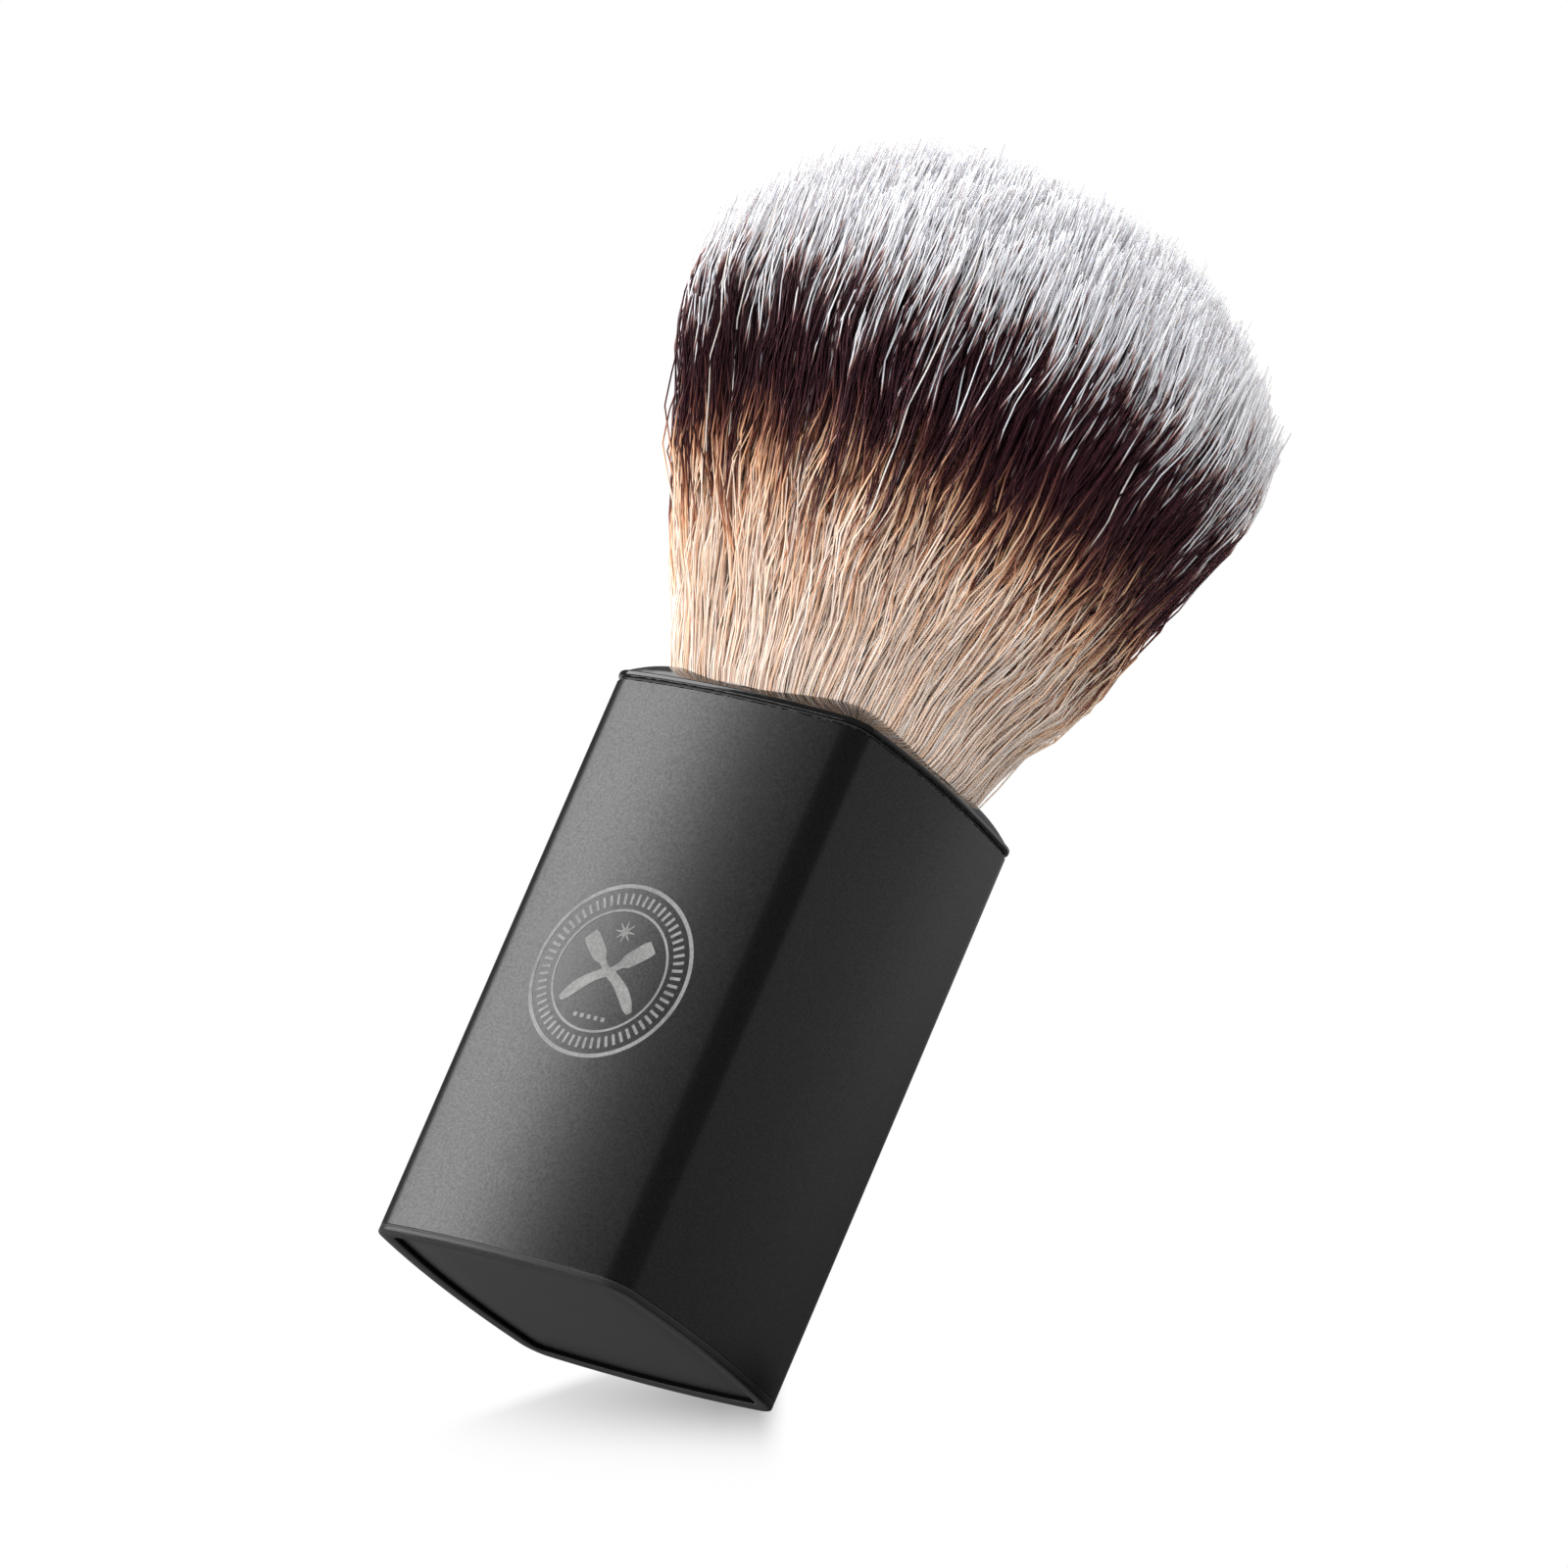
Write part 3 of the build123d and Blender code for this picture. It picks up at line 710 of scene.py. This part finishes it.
    # the crimp: a slow wave shared by neighbours, a quicker one of each fibre's own, and a lean of its own
    upward = add("ShaderNodeCombineXYZ", {2: height})
    spot = add("ShaderNodeVectorMath", [outward, upward], operation="ADD")
    slowAt = add("ShaderNodeVectorMath", [spot, form["slowWave"]], operation="MULTIPLY")
    quickAt = add("ShaderNodeVectorMath", [read["bow"], form["apart"]], operation="MULTIPLY")
    quickUp = add("ShaderNodeVectorMath", [upward, form["quickWave"]], operation="MULTIPLY")
    quickAt = add("ShaderNodeVectorMath", [quickAt, quickUp], operation="ADD")
    freedom = add("ShaderNodeMapRange", {"Value": factor, "From Min": step, "From Max": form["freeFrom"]})
    calmer = add("ShaderNodeMapRange", {
        "Value": factor, "From Min": form["calmFrom"], "From Max": 1.0, "To Min": 1.0,
        "To Max": form["calmest"]})
    total = spot
    for at, detail, reach in ((slowAt, 1.0, form["slowMm"]), (quickAt, 0.0, form["quickMm"])):
        wave = add("ShaderNodeTexNoise", {"Vector": at, "Scale": 1.0, "Detail": detail}).outputs["Color"]
        wave = add("ShaderNodeVectorMath", [wave, (0.5, 0.5, 0.5)], operation="SUBTRACT")
        wave = add("ShaderNodeVectorMath", [wave, (reach, reach, 0.0)], operation="MULTIPLY")
        wave = add("ShaderNodeVectorMath", {0: wave, "Scale": freedom}, operation="SCALE")
        wave = add("ShaderNodeVectorMath", {0: wave, "Scale": calmer}, operation="SCALE")
        total = add("ShaderNodeVectorMath", [total, wave], operation="ADD")
    lean = add("ShaderNodeVectorMath", [read["bow"], (0.5, 0.5, 0.5)], operation="SUBTRACT")
    lean = add("ShaderNodeVectorMath", [lean, (form["leanMm"], form["leanMm"], 0.0)], operation="MULTIPLY")
    lean = add("ShaderNodeVectorMath", {0: lean, "Scale": rise}, operation="SCALE")
    total = add("ShaderNodeVectorMath", [total, lean], operation="ADD")
    metres = add("ShaderNodeVectorMath", {0: total, "Scale": mm}, operation="SCALE")
    fibres = add("GeometryNodeSetPosition", {"Geometry": fibres, "Position": metres})

    # the thickness, with a fine tapered tip
    taper = add("ShaderNodeMapRange", {
        "Value": factor, "From Min": form["taperFrom"], "From Max": 1.0, "To Min": 0.5 * mm,
        "To Max": form["tipShare"] * mm}, interpolation_type="SMOOTHSTEP")
    thick = add("ShaderNodeMath", [taper, given["fibreMm"]], operation="MULTIPLY")
    fibres = add("GeometryNodeSetCurveRadius", {"Curve": fibres, "Radius": thick})
    toTip = add("ShaderNodeMath", [whole, height], operation="SUBTRACT")
    toTip = add("ShaderNodeMath", [toTip, read["dye"]], operation="ADD")
    toTip = add("ShaderNodeMath", [toTip, form["leastMm"]], operation="MAXIMUM")
    fibres = add("GeometryNodeStoreNamedAttribute", {"Geometry": fibres, "Name": "toTip", "Value": toTip})
    circle = add("GeometryNodeCurvePrimitiveCircle", {"Resolution": 3, "Radius": 1.0})
    circle = add("GeometryNodeStoreNamedAttribute", {
        "Geometry": circle, "Name": "corner", "Value": add("GeometryNodeInputIndex")})
    tubes = add("GeometryNodeCurveToMesh", {
        "Curve": fibres, "Profile Curve": circle, "Scale": thick, "Fill Caps": True})

    # the map that the dye and the painted shade inside the knot follow: along it the way from the tip, across
    # it one fibre or another, with the inner fibres in its lower half
    corner, fromTip, row = [add("GeometryNodeInputNamedAttribute", {"Name": name})
                            for name in ("corner", "toTip", "row")]
    bent = add("ShaderNodeMath", [corner, corner], operation="MULTIPLY")
    u = add("ShaderNodeMath", [fromTip, given["mapMm"]], operation="DIVIDE")
    u = add("ShaderNodeMath", [bent, form["cornerAlong"], u], operation="MULTIPLY_ADD")
    width = add("ShaderNodeMath", [form["cornerAcross"], given["looks"]], operation="DIVIDE")
    v = add("ShaderNodeMath", [corner, width, row], operation="MULTIPLY_ADD")
    uv = add("ShaderNodeCombineXYZ", [u, v])
    mapped = add("GeometryNodeStoreNamedAttribute", {
        "Geometry": tubes, "Name": "OFBake", "Value": uv}, data_type="FLOAT2", domain="CORNER")
    soft = add("GeometryNodeSetShadeSmooth", {"Geometry": mapped})
    real = add("GeometryNodeRealizeInstances", {"Geometry": soft})
    coated = add("GeometryNodeSetMaterial", {"Geometry": real, "Material": material})
    add("NodeGroupOutput", [coated])
    return tree


def makeDyedFibre():
    # crimped PBT fibre dyed in bands to look like badger: a pale tip, a dark band, and tan down to the root,
    # with the tan of the inner fibres darkened as painted shade
    look = {
        "bandsMm": [(0, "#f4f3f6"), (3.9, "#f4f2f5"), (4.9, "#8a6664"), (5.6, "#29141a"), (14.1, "#28131a"),
                    (17.0, "#6a3d33"), (19.3, "#dba380"), (22.1, "#f7cfb5"), (50, "#fbd9c5")],
        # inside is a deeper tan: some fibres' own tone, and painted shade laid on the inner fibres
        "unevenMm": 3.8, "inside": "#d59d76", "outside": "#fdefe5", "stray": "#e6d8cf", "shade": "#a9a5ac",
        "dyedShare": 0.982, "whiteMm": (4.4, 3.6), "shadePower": 2.5, "tanMm": (20, 25), "innerShadeDepth": 0.9,
        "outerShadeDepth": 0.55, "palest": 0.7,
    }
    made, add, shader = newMaterial("dyedCrimpedFibre", **{
        "Roughness": 0.36, "IOR": 1.5, "Subsurface Weight": 0.6, "Subsurface Radius": (1.0, 0.8, 0.65),
        "Subsurface Scale": 0.35 * mm})
    mapMm, uneven = hairLook["mapMm"], 0.5 * look["unevenMm"]
    along, cell, _ = add("ShaderNodeSeparateXYZ", [add("ShaderNodeUVMap", uv_map="OFBake")]).outputs
    fibre = add("ShaderNodeMath", [cell, hairLook["looks"] * 2.0], operation="MULTIPLY")
    fibre = add("ShaderNodeMath", [fibre], operation="FLOOR")
    noise = add("ShaderNodeTexWhiteNoise", {"W": fibre}, noise_dimensions="1D").outputs["Color"]
    chance = add("ShaderNodeSeparateXYZ", [noise]).outputs
    shift = add("ShaderNodeMapRange", {
        "Value": chance[0], "To Min": -uneven / mapMm, "To Max": uneven / mapMm})
    rare = add("ShaderNodeMath", [chance[1], look["dyedShare"]], operation="GREATER_THAN")
    dyed = add("ShaderNodeMath", [along, shift], operation="ADD")
    bands = add("ShaderNodeValToRGB", [dyed])
    ramp = bands.color_ramp
    for i, (fromTip, hexCode) in enumerate(look["bandsMm"]):
        stop = ramp.elements[i] if i < 2 else ramp.elements.new(0.999)
        stop.position = fromTip / mapMm
        stop.color = colour(hexCode)
    white, tan = [add("ShaderNodeMapRange", {
        "Value": dyed, "From Min": look[band][0] / mapMm, "From Max": look[band][1] / mapMm})
        for band in ("whiteMm", "tanMm")]
    grey = add("ShaderNodeMath", [chance[2], look["shadePower"]], operation="POWER")
    grey = add("ShaderNodeMath", [grey, white], operation="MULTIPLY")
    # the tan part varies from fibre to fibre, and inside the knot it is made deeper as painted shade between
    # the fibres
    outer = add("ShaderNodeMath", [cell, 0.5], operation="GREATER_THAN")
    deep = add("ShaderNodeMapRange", {
        "Value": outer, "To Min": look["innerShadeDepth"], "To Max": look["outerShadeDepth"]})
    tanVaryAndShade = add("ShaderNodeMath", [chance[2], deep], operation="MULTIPLY")
    tanVaryAndShade = add("ShaderNodeMath", [tanVaryAndShade, tan], operation="MULTIPLY")
    light = add("ShaderNodeMath", [chance[1], tan], operation="MULTIPLY")
    light = add("ShaderNodeMath", [light, look["palest"]], operation="MULTIPLY")
    # each tone lies over the one before; the last is for a few fibres that took no dye at all
    tone = bands.outputs[0]
    for share, name in ((grey, "shade"), (tanVaryAndShade, "inside"), (light, "outside"), (rare, "stray")):
        tone = add("ShaderNodeMix", {0: share, 6: tone, 7: colour(look[name])}, data_type="RGBA").outputs[2]
    feed(shader, {"Base Color": tone})
    return made


def makeBristles():
    tree = hairTree(makeDyedFibre())
    for piece in range(hairLook["pieces"]):
        made = grow(f"bristles{piece + 1}", tree, hairSizes(piece))
        for name in ("disc", "toTuft", "toLock", "bow", "tip", "row", "dye", "toTip", "corner"):
            if name in made.data.attributes:
                made.data.attributes.remove(made.data.attributes[name])
        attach(made, "root")
        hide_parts("bristles")
        print("bristles", piece + 1, len(made.data.polygons), "faces")


makeBristles()

# What is sealed inside keeps its own shape and gets its own finish.
zinc = makeHidden("zincPlatedSteel", "#b9bcbe", "#d0d2d3", 1.5, Metallic=1.0, Roughness=0.32)
brass = makeHidden("turnedBrass", "#b08d47", "#cfae62", 0.8, Metallic=1.0, Roughness=0.3)
turned = makeHidden("turnedAluminium", "#bfc1c3", "#d8dadb", 0.7, Metallic=1.0, Roughness=0.34)
resin = makeHidden("castEpoxyResin", "#8a6a3a", "#a5814c", 3.0, Roughness=0.2, IOR=1.55)
foam = makeHidden("acrylicFoamSheet", "#c9c6bd", "#dedbd2", 0.4, Roughness=0.85, IOR=1.45)
innerFinishes = {
    "collar_gasket": rubber, "base_gasket": rubber, "knot_ring": turned, "knot_resin": resin,
    "knot_glue": resin, "threaded_insert": brass, "tie_screw": zinc, "screw_washer": zinc,
    "weight": zinc, "panel_adhesive": foam, "sleeve": anodisedAluminium, "collar": glossAbs,
    "base_plug": satinAbsRim, "base_panel": satinAbsPanel, "bristles": resin,
}
for node, finish in innerFinishes.items():
    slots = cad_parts[node].data.materials
    slots.clear()
    slots.append(finish)
print("inner parts finished")

# The floor, the lights and the camera.
stageLook = {
    "azimuth": 38.0, "elevation": -14.7, "roll": 23.28, "distance": 0.93, "lens": 263.0,
    "sensor": 36.0, "aimMm": (0.0, 0.0, 47.7), "acrossMm": -1.479, "upMm": 0.684, "shine": 0.14,
    "surround": 0.42, "floorReach": 0.24, "floorDropMm": 0.02,
}
aim = Vector(stageLook["aimMm"]) * mm


def makeCamera():
    a, e, roll = (math.radians(stageLook[k]) for k in ("azimuth", "elevation", "roll"))
    away = Vector((math.sin(a) * math.cos(e), -math.cos(a) * math.cos(e), math.sin(e)))
    level = Vector((math.cos(a), math.sin(a), 0))
    upright = away.cross(level)
    across = level * math.cos(roll) + upright * math.sin(roll)
    up = upright * math.cos(roll) - level * math.sin(roll)
    data = bpy.data.cameras.new("camera")
    data.lens, data.sensor_width, data.clip_start = stageLook["lens"], stageLook["sensor"], 0.01
    made = addObject("camera", data)
    at = aim + (across * stageLook["acrossMm"] + up * stageLook["upMm"]) * mm + away * stageLook["distance"]
    made.matrix_world = Matrix.Translation(at) @ Matrix((across, up, away)).transposed().to_4x4()
    bpy.context.scene.camera = made
    return across, up, away


def softbox(name, towards, size, glow, distance=0.6, shine=True):
    # glow is the brightness of its face, so its power follows from its size
    data = bpy.data.lights.new(name, "AREA")
    data.shape, data.size, data.size_y = "RECTANGLE", size[0], size[1]
    data.energy = glow * math.pi * size[0] * size[1]
    made = addObject(name, data)
    direction = Vector(towards).normalized()
    turn = direction.to_track_quat("Z", "Y").to_matrix().to_4x4()
    made.matrix_world = Matrix.Translation(aim + direction * distance) @ turn
    made.visible_camera = False
    made.visible_glossy = shine


def makeSurround():
    # white where it is looked at, and dimmer in what it lights and in what shines
    world = bpy.data.worlds.new("surround")
    add = emptyTree(world)
    ray = add("ShaderNodeLightPath").outputs
    strength = add("ShaderNodeMapRange", {
        "Value": ray["Is Glossy Ray"], "To Min": stageLook["surround"], "To Max": stageLook["shine"]})
    strength = add("ShaderNodeMath", [strength, ray["Is Camera Ray"]], operation="MAXIMUM")
    light = add("ShaderNodeBackground", {"Color": (1, 1, 1, 1), "Strength": strength})
    add("ShaderNodeOutputWorld", [light])
    bpy.context.scene.world = world


def makeFloor():
    # pale paper, seen only from above, so that it doesn't hide the base from below
    made, add, shader = newMaterial("palePaper", Roughness=0.9)
    place = add("ShaderNodeTexCoord").outputs["Object"]
    grain = add("ShaderNodeTexNoise", {"Vector": place, "Scale": perMetre(0.8)})
    bump = add("ShaderNodeBump", {"Height": grain, "Strength": 0.1, "Distance": 0.05 * mm})
    feed(shader, {"Base Color": colour("#f2f2f0"), "Normal": bump})
    under = add("ShaderNodeNewGeometry").outputs["Backfacing"]
    seen = add("ShaderNodeLightPath").outputs["Is Camera Ray"]
    unseen = add("ShaderNodeMath", [1.0, seen], operation="SUBTRACT")
    clear = add("ShaderNodeMath", [under, unseen], operation="MAXIMUM")
    mixed = add("ShaderNodeMixShader", [clear, shader, add("ShaderNodeBsdfTransparent")])
    ending = next(n for n in made.node_tree.nodes if n.bl_idname == "ShaderNodeOutputMaterial")
    feed(ending, [mixed])
    reach, height = stageLook["floorReach"], -stageLook["floorDropMm"] * mm
    corners = [(x * reach, y * reach, height) for x, y in ((-1, -1), (1, -1), (1, 1), (-1, 1))]
    mesh = bpy.data.meshes.new("floor")
    mesh.from_pydata(corners, [], [(0, 1, 2, 3)])
    mesh.materials.append(made)
    floor = addObject("floor", mesh)


# The shadow's corner is set in the camera's own frame, and its ends and edges are distances from there.
underShadowLook = {
    "rows": 14, "reach": 3.2, "dark": 0.63, "dropMm": 0.05, "hole": 0.33, "fade": -6.07,
    "grows": (-1.85, 1.15), "ends": (1.85, 1.5), "slope": 0.35, "edge": (-0.36, -0.17),
    "frame": 1600, "corner": (620, 1425), "unit": 100,
}


def makeUnderShadow():
    # a painted soft shadow, a grey tint on a sheet that lies under the paper beside the base, seen only from
    # below
    look = underShadowLook
    made = bpy.data.materials.new("softShadow")
    add = emptyTree(made)
    x, y, _ = add("ShaderNodeSeparateXYZ", [add("ShaderNodeUVMap", uv_map="spread")]).outputs
    total = add("ShaderNodeMath", [y, y], operation="MULTIPLY")
    total = add("ShaderNodeMath", [total, look["fade"]], operation="MULTIPLY")
    total = add("ShaderNodeMath", [total], operation="EXPONENT")
    below = add("ShaderNodeMath", [x, look["slope"], y], operation="MULTIPLY_ADD")
    for value, (first, last), shape in (
            (x, look["grows"], "LINEAR"), (x, look["ends"], "SMOOTHSTEP"),
            (below, look["edge"], "SMOOTHSTEP")):
        part = add("ShaderNodeMapRange", {"Value": value, "From Min": first, "From Max": last},
                   interpolation_type=shape)
        total = add("ShaderNodeMath", [total, part], operation="MULTIPLY")
    clear = add("ShaderNodeMapRange", {"Value": total, "To Min": 1.0, "To Max": 1 - look["dark"]})
    seen = add("ShaderNodeLightPath").outputs["Is Camera Ray"]
    tint = add("ShaderNodeMapRange", {"Value": seen, "To Min": 1.0, "To Max": clear})
    grey = add("ShaderNodeCombineColor", [tint, tint, tint])
    add("ShaderNodeOutputMaterial", [add("ShaderNodeBsdfTransparent", [grey])])

    # a flat collar of faces, from just inside the base's outline outwards
    edge, rows = outline(look["hole"]), look["rows"]
    points = [Vector((p.x, p.y, 0)) * mm * (1 + look["reach"] * (r / rows) ** 2)
              - Vector((0, 0, look["dropMm"] * mm)) for r in range(rows + 1) for p in edge]
    count = len(edge)
    faces = [(r + i, r + count + i, r + count + (i + 1) % count, r + (i + 1) % count)
             for r in range(0, rows * count, count) for i in range(count)]
    mesh = bpy.data.meshes.new("underShadow")
    mesh.from_pydata(points, [], faces)
    spread = mesh.uv_layers.new(name="spread")
    viewer = bpy.context.scene.camera.matrix_world.translation
    scale = stageLook["lens"] / stageLook["sensor"] * look["frame"]
    for loop in mesh.loops:
        offset = mesh.vertices[loop.vertex_index].co - viewer
        depth = -offset.dot(away)
        right = look["frame"] / 2 + scale * offset.dot(across) / depth
        down = look["frame"] / 2 - scale * offset.dot(up) / depth
        spread.data[loop.index].uv = [(a - b) / look["unit"] for a, b in zip((right, down), look["corner"])]
    mesh.materials.append(made)
    shade = addObject("underShadow", mesh)


across, up, away = makeCamera()
softbox("keyLeft", (-0.79, -0.61, 0.22), (0.29, 0.5), 5.5)
softbox("overhead", (-0.1, 0.1, 1.0), (0.6, 0.6), 2.3, shine=False)
softbox("topStrip", (-0.6, 0.25, 0.76), (0.2, 0.2), 1.4)
softbox("rightBack", (0.7, 0.62, 0.42), (0.3, 0.2), 0.28, distance=0.3)
softbox("farBack", (0.2, 1.0, 0.62), (0.25, 0.2), 0.48, distance=0.3)
softbox("lowBack", (-0.85, 0.5, -0.25), (0.35, 0.4), 0.6)
softbox("lowLeft", (-0.6, -0.25, -0.76), (0.3, 0.3), 2.5)
softbox("frontFill", (0.25, -0.9, 0.25), (0.5, 0.5), 4.9, shine=False)
softbox("leftFill", (-0.75, -0.7, 0.1), (0.5, 0.5), 3.1, shine=False)
softbox("backFill", (-0.4, 1.0, 0.4), (0.5, 0.5), 2.6, shine=False)
softbox("rightFill", (1.0, -0.3, 0.2), (0.4, 0.5), 1.7, shine=False)
makeSurround()
makeFloor()
makeUnderShadow()
bpy.context.scene.view_settings.view_transform = "Standard"
print("stage set")
